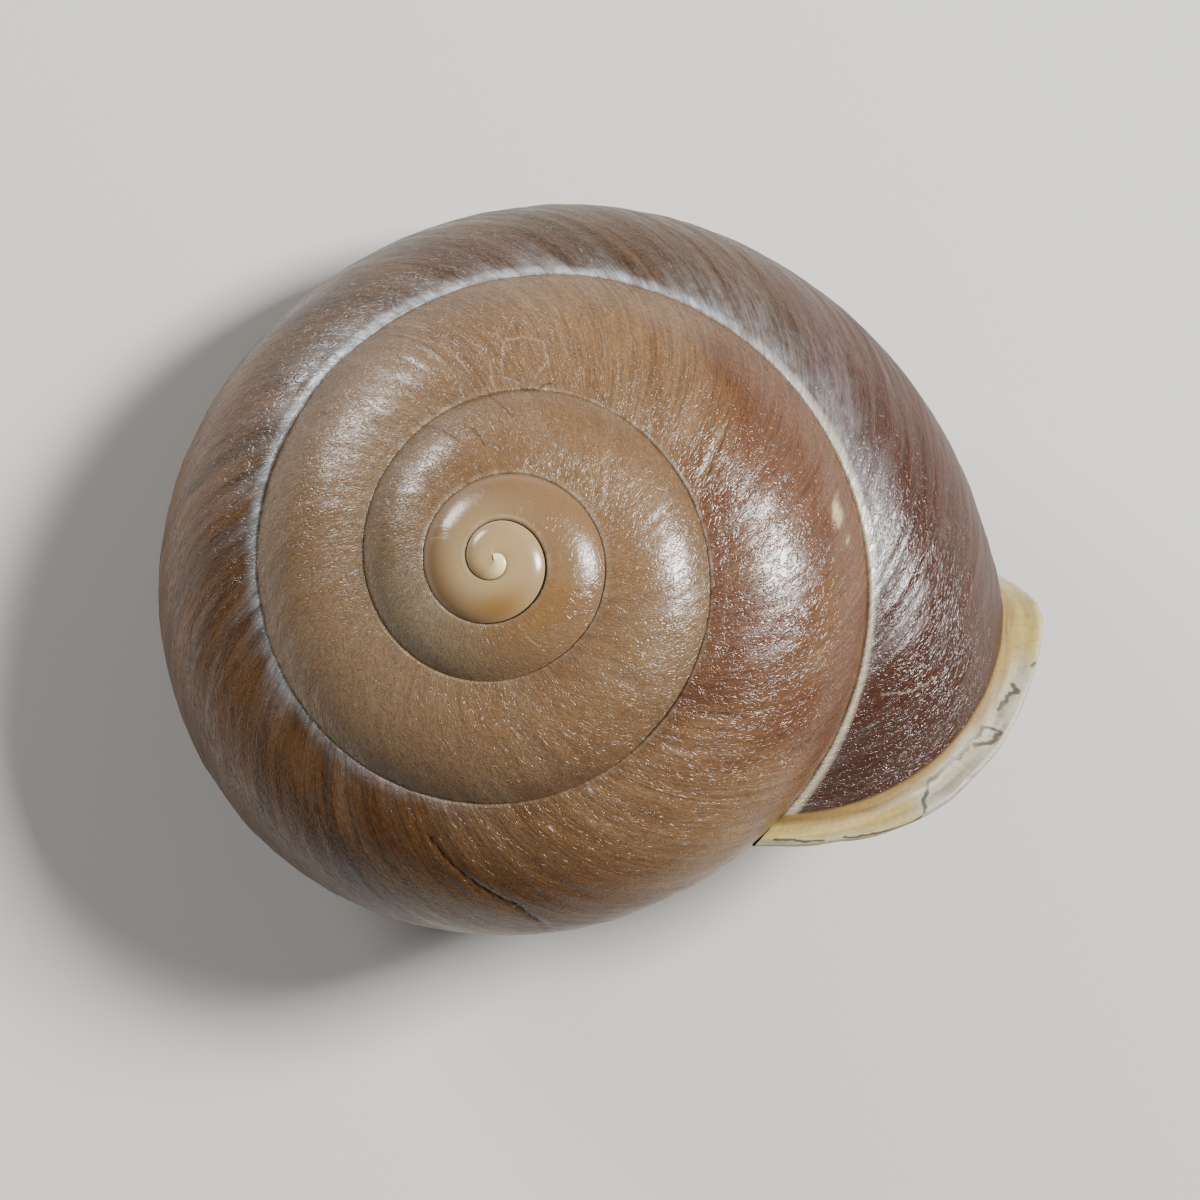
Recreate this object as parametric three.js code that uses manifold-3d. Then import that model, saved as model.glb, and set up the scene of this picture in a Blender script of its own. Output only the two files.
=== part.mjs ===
// Land snail shell: one right-handed coil, grown in one piece, lying on its base with the apex up.
// The outer surface is worked out from growth: how far out the whorls reach at each quarter turn,
// where each whorl joins the one before it, and the rounded profile that all the whorls share.
// The winding hollow is cut out of it, and the thick turned-back lip stands round its mouth.
// Lengths are in millimetres and angles in degrees. Turns are counted along the suture.
// The shell lies in its resting place: Z is up, and the mouth opens down and towards -Y.

import * as THREE from 'three';
import { mergeVertices } from 'three/addons/utils/BufferGeometryUtils.js';
import Module from 'manifold-3d';

const wasm = await Module();
wasm.setup();

// Growth of the coil: reach of the whorls from the coil's axis at each quarter turn
const FIRST_TURN = -1;
const TURN_STEP = 0.25;
const REACH = [
  0.4, 0.7, 1.1, 1.7, 2.5, 3.0, 3.6, 4.5, 5.4, 6.4, 6.9, 8.4,
  10.8, 12.3, 14.0, 15.5, 17.8, 19.3, 19.4, 21.7, 22.3, 25.1, 33.0,
];
const START_ANGLE = -100;
const LAST_TURN = 4.393;

// Where a whorl joins the one before, as an angle up from that whorl's widest line
const JOIN_ANGLE = 32;
const JOIN_DROP = 42;
const DROP_FROM = 3.0;
const DROP_TO = 4.43;
const DROP_POWER = 4;

// Profile of a whorl, as shares of its reach
const SHOULDER_CENTRE = 0.4;
const SHOULDER_HEIGHT = 0.432;
const BASE_CENTRE = 0.52;
const BASE_DEPTH = 0.37;
const BASE_LIFT = 0.5;
const BASE_LIFT_FROM = 3.7;
const UMBILICUS = 0.1;
const UMBILICUS_RISE = 0.75;

// Inner corners of a filled whorl: radius as a share of the suture's, depth as a share of the reach
const LOW_CORNER = { radius: 0.3, depth: 0.45 };
const HIGH_CORNER = { radius: 0.8, depth: 0.12 };

// Rounded button that the coil starts from, as shares of its reach
const BUTTON_RADIUS = 0.95;
const BUTTON_SHOULDER = 0.45;
const BUTTON_DEPTH = 0.9;
const BUTTON_FOOT = 0.6;

// How far the growth lines trail behind the suture
const TRAIL_TO_EDGE = 41.5;
const TRAIL_TO_BASE = 16;
const TRAIL_TO_UMBILICUS = 6;

// Wall, hollow and lip
const WALL_SHARE = 0.045;
const HOLLOW_FROM = 1.9;
const HOLLOW_CLEAR = 0.12;
const HOLLOW_INNER_END = 2.7;
const LIP_STEP = 0.5;
const LIP_FORWARD = [2.5, 2.2, 1.45, 1.0, 2.1, 2.2, 1.8];
const LIP_OUTWARD = [0, 1.2, 2.1, 3.0, 2.4, 1.9, 1.5];
const LIP_THICKNESS = 1.0;
const LIP_TURNING = 0.4;

// Rows of the lip and of the open space in it: shares forward and outward, depth in lip thicknesses
const LIP_ROWS = [[0.3, 0.15, 0], [0.65, 0.6, 0], [0.85, 1, 0], [1, 1, 0.5]];
const MOUTH_ROWS = [[0.4, 0, 1.2], [0.8, 0.5, 1], [1.05, 1, 1], [3, 1.5, 0]];

// How the shell lies: lean of the coil's axis, the side that it raises, and where its apex is.
// The surface it lies on takes off a quarter of a millimetre, as wear does.
const LEAN = 12;
const LEAN_SIDE = 38;
const APEX_PLACE = new THREE.Vector3(-5.97, 0.4, 24.8);
const FLOOR_BLOCK = 100;

// Fineness of the faceted solid
const ROWS_PER_TURN = 28;
const SHOULDER_STEPS = 8;
const BASE_STEPS = 5;
const UMBILICUS_STEPS = 3;
const HOLLOW_STEPS = 12;
const INNER_STEPS = 6;
const NUCLEUS_STEPS = 6;
const JOINED_WITHIN = 1e-5;
const WELD = 0.004;
const SLOPE_STEP = 1e-3;

// Lines across a whorl: suture, widest line, lowest line and umbilicus
const SUTURE = 0;
const EDGE = 1;
const BASE = 2;
const NAVEL = 3;

const radians = THREE.MathUtils.degToRad;
const LEAN_AXIS = new THREE.Vector3(-Math.sin(radians(LEAN_SIDE)), -Math.cos(radians(LEAN_SIDE)), 0);
const LOG_REACH = REACH.map(Math.log);

function steps(from, to, count) {
  return Array.from({ length: count + 1 }, (_, i) => from + ((to - from) * i) / count);
}

// Smooth curve through evenly spaced values
function curveThrough(values, place) {
  const last = values.length - 1;
  const here = THREE.MathUtils.clamp(place, 0, last - 1e-9);
  const i = Math.floor(here);
  const f = here - i;
  const before = i === 0 ? 2 * values[0] - values[1] : values[i - 1];
  const after = i + 2 > last ? 2 * values[last] - values[last - 1] : values[i + 2];
  const slopeIn = (values[i + 1] - before) / 2;
  const slopeOut = (after - values[i]) / 2;
  const bend = 3 * f ** 2 - 2 * f ** 3;
  return values[i] * (1 - bend) + slopeIn * (f ** 3 - 2 * f ** 2 + f)
    + values[i + 1] * bend + slopeOut * (f ** 3 - f ** 2);
}

function reach(turn) {
  return Math.exp(curveThrough(LOG_REACH, (turn - FIRST_TURN) / TURN_STEP));
}

function joinAngle(turn) {
  const late = Math.max(0, (turn - DROP_FROM) / (DROP_TO - DROP_FROM));
  return radians(JOIN_ANGLE - JOIN_DROP * late ** DROP_POWER);
}

// Distance of the shoulder from the axis, at an angle up from the widest line
function shoulderRadius(angle, turn) {
  return reach(turn) * (SHOULDER_CENTRE + (1 - SHOULDER_CENTRE) * Math.cos(angle));
}

function baseDepth(turn) {
  const late = THREE.MathUtils.smoothstep(turn, BASE_LIFT_FROM, LAST_TURN);
  return BASE_DEPTH * (1 - BASE_LIFT * late);
}

// Depth below the top of the profile, at an angle up from the widest line
function profileDepth(angle, turn) {
  if (angle >= 0) return reach(turn) * SHOULDER_HEIGHT * (1 - Math.sin(angle));
  return reach(turn) * (SHOULDER_HEIGHT - baseDepth(turn) * Math.sin(angle));
}

function sutureRadius(turn) {
  return turn < 0 ? 0 : shoulderRadius(joinAngle(turn), turn - 1);
}

function sutureAngle(turn) {
  const share = (sutureRadius(turn) / reach(turn) - SHOULDER_CENTRE) / (1 - SHOULDER_CENTRE);
  return Math.acos(THREE.MathUtils.clamp(share, 0, 1));
}

function sutureDepth(turn) {
  return turn < 0 ? 0 : topDepth(turn - 1) + profileDepth(joinAngle(turn), turn - 1);
}

function topDepth(turn) {
  return turn < 0 ? 0 : sutureDepth(turn) - profileDepth(sutureAngle(turn), turn);
}

function lay(point) {
  return point.applyAxisAngle(LEAN_AXIS, radians(LEAN)).add(APEX_PLACE);
}

// Point of the shell as it lies, from its radius in the coil, its depth below the apex and its turn
function coilPoint(radius, depth, turn) {
  const angle = radians(START_ANGLE) + 2 * Math.PI * turn;
  return lay(new THREE.Vector3(radius * Math.cos(angle), -radius * Math.sin(angle), -depth));
}

// How far a growth line trails behind its start at the suture, in turns
function trail(across) {
  const edge = TRAIL_TO_EDGE * Math.min(across, EDGE);
  const base = TRAIL_TO_BASE * THREE.MathUtils.clamp(across - EDGE, 0, 1);
  const inner = TRAIL_TO_UMBILICUS * Math.max(across - BASE, 0);
  return (edge + base + inner) / 360;
}

// Point of the outer surface on the growth line that leaves the suture at the turn "line"
function surfacePoint(line, across) {
  const turn = line - trail(across);
  const size = reach(turn);
  const top = topDepth(turn);
  if (across <= EDGE) {
    const angle = sutureAngle(line) * (EDGE - across);
    return coilPoint(shoulderRadius(angle, turn), top + profileDepth(angle, turn), turn);
  }
  if (across <= BASE) {
    const angle = -radians(90) * (across - EDGE);
    const radius = size * (BASE_CENTRE + (1 - BASE_CENTRE) * Math.cos(angle));
    return coilPoint(radius, top + profileDepth(angle, turn), turn);
  }
  const angle = radians(90) * (across - BASE);
  const radius = size * (BASE_CENTRE - (BASE_CENTRE - UMBILICUS) * Math.sin(angle));
  const rise = size * baseDepth(turn) * UMBILICUS_RISE * (1 - Math.cos(angle));
  return coilPoint(radius, top + profileDepth(-radians(90), turn) - rise, turn);
}

// Point moved off the outer surface: outward, and forward, the way the shell grows.
// Forward is along the suture where the whorl joins the one before, and square to the growth
// line farther from it.
function movedPoint(line, across, forwardBy, outwardBy) {
  const low = surfacePoint(line, Math.max(across - SLOPE_STEP, SUTURE));
  const over = surfacePoint(line, Math.min(across + SLOPE_STEP, NAVEL)).sub(low).normalize();
  const behind = surfacePoint(line - SLOPE_STEP, across);
  const along = surfacePoint(line + SLOPE_STEP, across).sub(behind).normalize();
  const outward = new THREE.Vector3().crossVectors(along, over).normalize();
  const turned = THREE.MathUtils.smoothstep(across, SUTURE, LIP_TURNING);
  const forward = new THREE.Vector3().crossVectors(over, outward).lerp(along, 1 - turned);
  return surfacePoint(line, across)
    .addScaledVector(forward, forwardBy)
    .addScaledVector(outward, outwardBy);
}

// The two inner corners of a filled whorl, which lie within the coil
function innerCorners(line) {
  const corner = (turn, { radius, depth }) => (
    coilPoint(radius * sutureRadius(turn), sutureDepth(turn) + depth * reach(turn), turn));
  return [corner(line - trail(NAVEL), LOW_CORNER), corner(line, HIGH_CORNER)];
}

const ACROSS = [
  ...steps(SUTURE, EDGE, SHOULDER_STEPS),
  ...steps(EDGE, BASE, BASE_STEPS).slice(1),
  ...steps(BASE, NAVEL, UMBILICUS_STEPS).slice(1),
];

function filledSection(line) {
  return [...ACROSS.map((across) => surfacePoint(line, across)), ...innerCorners(line)];
}

// Point of the lip, at shares of its reach forward and outward, and set in from there by a depth
function lipPoint(across, forwardShare, outwardShare, depth) {
  const forwardBy = forwardShare * curveThrough(LIP_FORWARD, across / LIP_STEP);
  const outwardBy = outwardShare * curveThrough(LIP_OUTWARD, across / LIP_STEP) - depth;
  return movedPoint(LAST_TURN, across, forwardBy, outwardBy);
}

// Section of the lip, carried forward from the last growth line and outward
function lipSection(forwardShare, outwardShare, depth) {
  const outer = ACROSS.map((across) => lipPoint(across, forwardShare, outwardShare, depth));
  const shift = lipPoint(SUTURE, forwardShare, 0, 0).sub(surfacePoint(LAST_TURN, SUTURE));
  return [...outer, ...innerCorners(LAST_TURN).map((corner) => corner.add(shift))];
}

// The hollow's inner side lies on the outside of the whorl before
function innerSide(line) {
  const joinAcross = 1 - joinAngle(line) / sutureAngle(line - 1);
  const before = line - 1 + trail(joinAcross);
  return steps(HOLLOW_INNER_END, joinAcross + HOLLOW_CLEAR, INNER_STEPS)
    .map((across) => surfacePoint(before, across));
}

function hollowSection(line) {
  const outer = steps(SUTURE, NAVEL, HOLLOW_STEPS).map((across) => {
    const wall = WALL_SHARE * reach(line - trail(across));
    return movedPoint(line, across, 0, -wall);
  });
  return [...outer, ...innerSide(line)];
}

// Section of the open space in the mouth, inside the lip
function mouthSection(forwardShare, outwardShare, depth) {
  const outer = steps(SUTURE, NAVEL, HOLLOW_STEPS).map((across) => (
    lipPoint(across, forwardShare, outwardShare, depth)));
  const turned = forwardShare * LIP_FORWARD[0] / (2 * Math.PI * sutureRadius(LAST_TURN));
  return [...outer, ...innerSide(LAST_TURN + turned)];
}

function meshOf(positions, faces) {
  const geometry = new THREE.BufferGeometry();
  geometry.setAttribute('position', new THREE.Float32BufferAttribute(positions, 3));
  geometry.setIndex(faces);
  return geometry;
}

// Closed surface through a row of sections, with its ends closed by fans
function sweep(sections) {
  const around = sections[0].length;
  const points = sections.flat();
  const faces = [];
  const next = (i) => (i + 1) % around;
  for (let row = 0; row + around < points.length; row += around) {
    for (let i = 0; i < around; i += 1) {
      const [a, b] = [row + i, row + next(i)];
      faces.push(a, a + around, b + around, a, b + around, b);
    }
  }
  const lastRow = points.length - around;
  for (const row of [0, lastRow]) {
    const middle = new THREE.Vector3();
    points.slice(row, row + around).forEach((p) => middle.addScaledVector(p, 1 / around));
    points.push(middle);
    const centre = points.length - 1;
    for (let i = 0; i < around; i += 1) {
      const side = [row + i, row + next(i)];
      faces.push(centre, ...(row === 0 ? side : side.reverse()));
    }
  }
  return meshOf(points.flatMap((p) => p.toArray()), faces);
}

function toManifold(geometry, distance = JOINED_WITHIN) {
  const bare = geometry.clone();
  bare.deleteAttribute('normal');
  bare.deleteAttribute('uv');
  const merged = mergeVertices(bare, distance);
  const index = merged.index.array;
  const kept = [];
  for (let i = 0; i < index.length; i += 3) {
    const [a, b, c] = index.slice(i, i + 3);
    if (a !== b && b !== c && c !== a) kept.push(a, b, c);
  }
  return new wasm.Manifold(new wasm.Mesh({
    numProp: 3,
    vertProperties: merged.attributes.position.array,
    triVerts: Uint32Array.from(kept),
  }));
}

function fromManifold(solid) {
  const mesh = solid.getMesh();
  return meshOf(mesh.vertProperties, Array.from(mesh.triVerts));
}

function growthLines(from, to) {
  return steps(from, to, Math.round((to - from) * ROWS_PER_TURN));
}

// Filled coil, joined from half turns that each share a row of faces with the next
function filledCoil() {
  const sections = growthLines(0, LAST_TURN).map(filledSection);
  const length = ROWS_PER_TURN / 2;
  const first = toManifold(sweep(sections.slice(0, length + 2)));
  const starts = sections.map((_, i) => i).filter((i) => i > 0 && i % length === 0);
  return starts.reduce(
    (coil, start) => coil.add(toManifold(sweep(sections.slice(start, start + length + 2)))),
    first,
  );
}

function filledLip() {
  return toManifold(sweep([
    filledSection(LAST_TURN - 1 / ROWS_PER_TURN),
    filledSection(LAST_TURN),
    ...LIP_ROWS.map(([forward, outward, depth]) => lipSection(forward, outward, depth * LIP_THICKNESS)),
  ]));
}

// Rounded button that the coil starts from
function nucleus() {
  const size = reach(0);
  const outline = [[0, BUTTON_DEPTH], [BUTTON_FOOT, BUTTON_DEPTH], [BUTTON_RADIUS, BUTTON_SHOULDER]];
  steps(0, 90, NUCLEUS_STEPS).slice(1).map(radians).forEach((angle) => {
    outline.push([BUTTON_RADIUS * Math.cos(angle), BUTTON_SHOULDER * (1 - Math.sin(angle))]);
  });
  const points = outline.map(([x, depth]) => new THREE.Vector2(Math.max(x, 0) * size, -depth * size));
  const geometry = new THREE.LatheGeometry(points, 4 * NUCLEUS_STEPS).rotateX(radians(90));
  geometry.applyMatrix4(new THREE.Matrix4().makeRotationAxis(LEAN_AXIS, radians(LEAN)));
  return toManifold(geometry.translate(...APEX_PLACE));
}

function hollow() {
  return toManifold(sweep([
    ...growthLines(HOLLOW_FROM, LAST_TURN).map(hollowSection),
    ...MOUTH_ROWS.map(([forward, outward, depth]) => mouthSection(forward, outward, depth * LIP_THICKNESS)),
  ]));
}

// Block under the surface that the shell lies on
function floorBlock() {
  const geometry = new THREE.BoxGeometry(FLOOR_BLOCK, FLOOR_BLOCK, FLOOR_BLOCK);
  return toManifold(geometry.translate(0, 0, -FLOOR_BLOCK / 2));
}

// The one large piece of a solid, without the specks that cutting can leave
function largestPiece(solid) {
  return solid.decompose().reduce((best, piece) => (piece.volume() > best.volume() ? piece : best));
}

function shellSolid() {
  const grown = filledCoil().add(filledLip()).add(nucleus());
  const cut = largestPiece(grown.subtract(hollow()).subtract(floorBlock()));
  return largestPiece(toManifold(fromManifold(cut), WELD));
}

const material = new THREE.MeshStandardMaterial({ color: 0x85604a, roughness: 0.5, metalness: 0 });
const shell = new THREE.Mesh(fromManifold(shellSolid()), material);
shell.name = 'shell';

const group = new THREE.Group();
group.add(shell);

export default group;
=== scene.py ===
"""Land snail shell: a low right-handed coil with a thick turned-back lip.

The shell is one grown piece, so it is one mesh. It is worked out from the same law of growth as
the solid: how far the whorls reach at each quarter turn, where each joins the one before, and the
profile that they share. Lengths in the classes are millimetres, turns are counted along the suture.
"""
import logging
import math
from collections.abc import Callable
from dataclasses import dataclass, field
from enum import IntEnum
from functools import partial

import bpy
import numpy as np
from mathutils import Matrix, Vector


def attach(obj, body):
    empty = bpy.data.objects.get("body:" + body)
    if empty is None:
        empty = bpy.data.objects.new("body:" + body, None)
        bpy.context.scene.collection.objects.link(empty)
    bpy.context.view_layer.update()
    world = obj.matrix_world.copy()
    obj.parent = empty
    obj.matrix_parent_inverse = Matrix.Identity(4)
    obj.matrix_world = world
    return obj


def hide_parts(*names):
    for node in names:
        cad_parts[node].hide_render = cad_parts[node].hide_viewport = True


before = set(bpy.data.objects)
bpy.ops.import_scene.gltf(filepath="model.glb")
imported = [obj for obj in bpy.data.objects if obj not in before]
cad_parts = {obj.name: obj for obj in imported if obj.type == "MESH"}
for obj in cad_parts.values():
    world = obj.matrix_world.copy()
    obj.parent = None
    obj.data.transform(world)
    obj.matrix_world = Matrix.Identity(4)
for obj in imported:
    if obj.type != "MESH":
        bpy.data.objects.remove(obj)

LOG = logging.getLogger("shell")
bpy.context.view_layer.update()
MM = 0.001


class Seed(IntEnum):
    """Seeds of the noises, by what each one draws."""

    BROAD_WAVES = 1
    FINE_WAVES = 2
    DENTS = 3
    WAVE_STRENGTH = 11
    LIP_FLAKES = 21
    LIP_RIDGES = 22
    LIP_WEAR = 23
    AGE = 31
    STREAKS = 32
    STREAK_PATCHES = 33
    MOTTLING = 34
    SPECKLE = 35
    BLUSH_REACH = 36
    HAZE = 37
    FINE_STREAKS = 38
    RIM = 39
    LIP_BANDS = 41
    LIP_FLAKING = 42
    LIP_CRAZING = 43
    LIP_LINES = 44
    LIP_STAINS = 45
    GLOSS = 51
    MARKS = 100


def linear(hex_colour: str) -> tuple[float, float, float, float]:
    """Turn an sRGB hex colour to linear.

    Args:
        hex_colour: Colour as six hex digits, with or without a leading hash.

    Returns:
        Linear red, green, blue and an alpha of one.
    """
    digits = hex_colour.lstrip("#")
    shares = [int(digits[i:i + 2], 16) / 255 for i in (0, 2, 4)]
    channels = [s / 12.92 if s <= 0.04045 else ((s + 0.055) / 1.055) ** 2.4 for s in shares]
    return (*channels, 1.0)


def smooth(value: np.ndarray, low: float, high: float) -> np.ndarray:
    """Rise smoothly from 0 at low to 1 at high.

    Args:
        value: Values to ease.
        low: Value that gives 0.
        high: Value that gives 1; it may be below low.

    Returns:
        The eased values.
    """
    share = np.clip((np.asarray(value, float) - low) / (high - low), 0, 1)
    return share * share * (3 - 2 * share)


def bell(value: np.ndarray, middle: float, width: float) -> np.ndarray:
    """Return a bell curve of a half width round a middle."""
    return np.exp(-(((np.asarray(value, float) - middle) / width) ** 2))


def curve_through(values: tuple[float, ...], place: np.ndarray) -> np.ndarray:
    """Follow a smooth curve through evenly spaced values.

    Args:
        values: The values, one step apart.
        place: Where to read the curve, in steps from the first value.

    Returns:
        The curve's values.
    """
    known = np.array([2 * values[0] - values[1], *values, 2 * values[-1] - values[-2]], float)
    here = np.clip(np.asarray(place, float), 0, len(values) - 1 - 1e-9)
    i = np.floor(here).astype(int)
    f = here - i
    before, start, end, after = (known[i + k] for k in range(4))
    bend = 3 * f**2 - 2 * f**3
    slopes = (end - before) / 2 * (f**3 - 2 * f**2 + f) + (after - start) / 2 * (f**3 - f**2)
    return start * (1 - bend) + end * bend + slopes


class Noise:
    """Seeded smooth noise between -1 and 1, over one or two coordinates in lattice steps.

    Attributes:
        octave_shift: Lattice steps that each octave is moved by, so that they don't line up.
    """

    octave_shift: tuple[float, float] = (7.3, 3.1)

    def __init__(self, seed: int, size: int = 256) -> None:
        """Draw the lattice of the noise.

        Args:
            seed: Seed of the draw.
            size: Number of lattice points a side before it repeats.
        """
        self.size = size
        self.lattice = np.random.default_rng(seed).uniform(-1, 1, (size, size))

    def at(self, x: np.ndarray, y: np.ndarray | float = 0.0) -> np.ndarray:
        """Read the noise.

        Args:
            x: First coordinate, in lattice steps.
            y: Second coordinate, in lattice steps.

        Returns:
            Noise at each place.
        """
        x, y = np.broadcast_arrays(np.asarray(x, float), np.asarray(y, float))
        i, j = np.floor(x).astype(int), np.floor(y).astype(int)
        u, v = x - i, y - j
        u, v = u * u * (3 - 2 * u), v * v * (3 - 2 * v)
        n, lattice = self.size, self.lattice
        near = lattice[i % n, j % n] * (1 - u) + lattice[(i + 1) % n, j % n] * u
        far = lattice[i % n, (j + 1) % n] * (1 - u) + lattice[(i + 1) % n, (j + 1) % n] * u
        return near * (1 - v) + far * v

    def rough(self, x: np.ndarray, y: np.ndarray | float = 0.0, octaves: int = 3) -> np.ndarray:
        """Add octaves of the noise, each twice as fine and half as strong.

        Args:
            x: First coordinate, in lattice steps.
            y: Second coordinate, in lattice steps.
            octaves: Number of octaves.

        Returns:
            Noise at each place.
        """
        dx, dy = self.octave_shift
        return sum(self.at(x * 2**k + dx * k, y * 2**k + dy * k) / 2**k for k in range(octaves))


@dataclass(frozen=True)
class Growth:
    """The law by which the coil grows, the same as the solid's.

    Lengths are millimetres and angles degrees. Shares are of the whorl's reach from the axis.
    """

    reaches: tuple[float, ...] = (
        0.4, 0.7, 1.1, 1.7, 2.5, 3.0, 3.6, 4.5, 5.4, 6.4, 6.9, 8.4,
        10.8, 12.3, 14.0, 15.5, 17.8, 19.3, 19.4, 21.7, 22.3, 25.1, 33.0,
    )
    first_turn: float = -1.0
    turn_step: float = 0.25
    last_turn: float = 4.393
    start_angle: float = -100.0
    join_angle: float = 32.0
    join_drop: float = 42.0
    drop_from: float = 3.0
    drop_to: float = 4.43
    drop_power: float = 4.0
    shoulder_centre: float = 0.4
    shoulder_height: float = 0.432
    base_centre: float = 0.52
    base_depth: float = 0.37
    base_lift: float = 0.5
    base_lift_from: float = 3.7
    umbilicus: float = 0.1
    umbilicus_rise: float = 0.75
    trail_to_edge: float = 32.0
    trail_at_lip: float = 41.5
    trail_to_base: float = 16.0
    trail_to_umbilicus: float = 6.0
    trail_grows: tuple[float, float] = (3.9, 4.39)
    top_cosine: float = -0.45
    lean: float = 12.0
    lean_side: float = 38.0
    apex: tuple[float, float, float] = (-5.97, 0.4, 24.8)

    def reach(self, turn: np.ndarray) -> np.ndarray:
        """Return how far the whorl reaches from the axis at a turn."""
        place = (np.asarray(turn, float) - self.first_turn) / self.turn_step
        return np.exp(curve_through(tuple(np.log(self.reaches)), place))

    def joining(self, turn: np.ndarray) -> np.ndarray:
        """Return the angle above the widest line at which a whorl joins the one before."""
        late = np.maximum(0, (np.asarray(turn, float) - self.drop_from) / (self.drop_to - self.drop_from))
        return np.radians(self.join_angle - self.join_drop * late**self.drop_power)

    def shoulder_radius(self, angle: np.ndarray, turn: np.ndarray) -> np.ndarray:
        """Return the shoulder's distance from the axis at an angle above the widest line."""
        return self.reach(turn) * (self.shoulder_centre + (1 - self.shoulder_centre) * np.cos(angle))

    def base_share(self, turn: np.ndarray) -> np.ndarray:
        """Return how deep the base bulges below the widest line, as a share of the reach."""
        late = smooth(turn, self.base_lift_from, self.last_turn)
        return self.base_depth * (1 - self.base_lift * late)

    def profile_depth(self, angle: np.ndarray, turn: np.ndarray) -> np.ndarray:
        """Find the depth below the profile's top.

        Args:
            angle: Angles above the widest line, in radians.
            turn: Turns.

        Returns:
            Depths in millimetres.
        """
        angle = np.asarray(angle, float)
        above = self.shoulder_height * (1 - np.sin(angle))
        below = self.shoulder_height - self.base_share(turn) * np.sin(angle)
        return self.reach(turn) * np.where(angle >= 0, above, below)

    def suture_radius(self, turn: np.ndarray) -> np.ndarray:
        """Find the suture's distance from the axis.

        Args:
            turn: Turns.

        Returns:
            Distances in millimetres, 0 before the first turn.
        """
        turn = np.asarray(turn, float)
        joined = self.shoulder_radius(self.joining(turn), turn - 1)
        return np.where(turn < 0, 0.0, joined)

    def suture_angle(self, turn: np.ndarray, least: float = 0.0) -> np.ndarray:
        """Return the angle above the widest line at which a whorl's own profile starts.

        Args:
            turn: Turns.
            least: Least cosine of that angle; below 0 the profile runs on over its top.

        Returns:
            Angles in radians.
        """
        turn = np.maximum(np.asarray(turn, float), 0.0)
        share = self.suture_radius(turn) / self.reach(turn) - self.shoulder_centre
        return np.arccos(np.clip(share / (1 - self.shoulder_centre), least, 1))

    def suture_depth(self, turn: np.ndarray) -> np.ndarray:
        """Return the suture's depth below the apex."""
        turn = np.asarray(turn, float)
        return self.top_depth(turn - 1) + self.profile_depth(self.joining(turn), turn - 1)

    def top_depth(self, turn: np.ndarray) -> np.ndarray:
        """Find the depth below the apex of the top of a whorl's profile.

        Args:
            turn: Turns.

        Returns:
            Depths in millimetres.
        """
        turn = np.asarray(turn, float)
        first = self.profile_depth(self.joining(0.0), self.first_turn)
        depth = first * np.clip(1 + turn, 0, 1)
        later = turn >= 0
        if later.any():
            t = turn[later]
            depth[later] = self.suture_depth(t) - self.profile_depth(self.suture_angle(t), t)
        return depth

    def trail(self, line: np.ndarray, across: np.ndarray) -> np.ndarray:
        """Find how far a growth line trails behind its start at the suture.

        Args:
            line: Growth lines.
            across: Places across the whorl.

        Returns:
            Lags in turns.
        """
        more = (self.trail_at_lip - self.trail_to_edge) * smooth(line, *self.trail_grows)
        to_edge = self.trail_to_edge + more
        edge = to_edge * np.minimum(across, 1)
        base = self.trail_to_base * np.clip(across - 1, 0, 1)
        navel = self.trail_to_umbilicus * np.clip(across - 2, 0, 1)
        return (edge + base + navel) / 360 * smooth(line, 0, 1)

    def lay(self, radius: np.ndarray, depth: np.ndarray, turn: np.ndarray) -> np.ndarray:
        """Place points of the coil as the shell lies.

        Args:
            radius: Distances from the coil's axis.
            depth: Depths below the apex.
            turn: Turns.

        Returns:
            Points, with x, y and z in the last axis.
        """
        angle = math.radians(self.start_angle) + 2 * math.pi * turn
        upright = np.stack([radius * np.cos(angle), -radius * np.sin(angle), -depth], -1)
        side = math.radians(self.lean_side)
        axis = Vector((-math.sin(side), -math.cos(side), 0))
        turned = np.array(Matrix.Rotation(math.radians(self.lean), 3, axis))
        return upright @ turned.T + np.array(self.apex)

    def surface(self, line: np.ndarray, across: np.ndarray) -> np.ndarray:
        """Find points of the outer surface.

        Args:
            line: Growth lines, named by the turn at which they leave the suture.
            across: 0 at the suture, 1 at the widest line, 2 at the lowest and 3 in the umbilicus;
                beyond 3 the surface runs up inside, behind the whorl before.

        Returns:
            Points, with x, y and z in the last axis.
        """
        line, across = np.broadcast_arrays(np.asarray(line, float), np.asarray(across, float))
        turn = line - self.trail(line, across)
        size, top = self.reach(turn), self.top_depth(turn)
        angle = self.suture_angle(line, self.top_cosine) * (1 - np.minimum(across, 1))
        radius = self.shoulder_radius(angle, turn)
        depth = top + self.profile_depth(angle, turn)
        cap = (line < 0) & (angle > math.pi / 2)
        start = self.suture_angle(line, self.top_cosine)
        inward = np.clip((start - angle) / np.maximum(start - math.pi / 2, 1e-6), 0, 1)
        radius = np.where(cap, size * self.shoulder_centre * inward, radius)
        depth = np.where(cap, top, depth)
        under = math.pi / 2 * np.clip(across - 1, 0, 1)
        low = across > 1
        radius = np.where(low, size * (self.base_centre + (1 - self.base_centre) * np.cos(under)), radius)
        depth = np.where(low, top + self.profile_depth(-under, turn), depth)
        inner = math.pi / 2 * np.clip(across - 2, 0, 1)
        navel = across > 2
        closing = (self.base_centre - self.umbilicus) * np.sin(inner)
        radius = np.where(navel, size * (self.base_centre - closing), radius)
        rise = size * self.base_share(turn) * self.umbilicus_rise * (1 - np.cos(inner))
        depth = np.where(navel, top + self.profile_depth(-math.pi / 2, turn) - rise, depth)
        behind = np.clip(across - 3, 0, 1)
        before = np.maximum(turn - 1, self.first_turn)
        seat = self.top_depth(before) + self.reach(before) * self.shoulder_height
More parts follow.
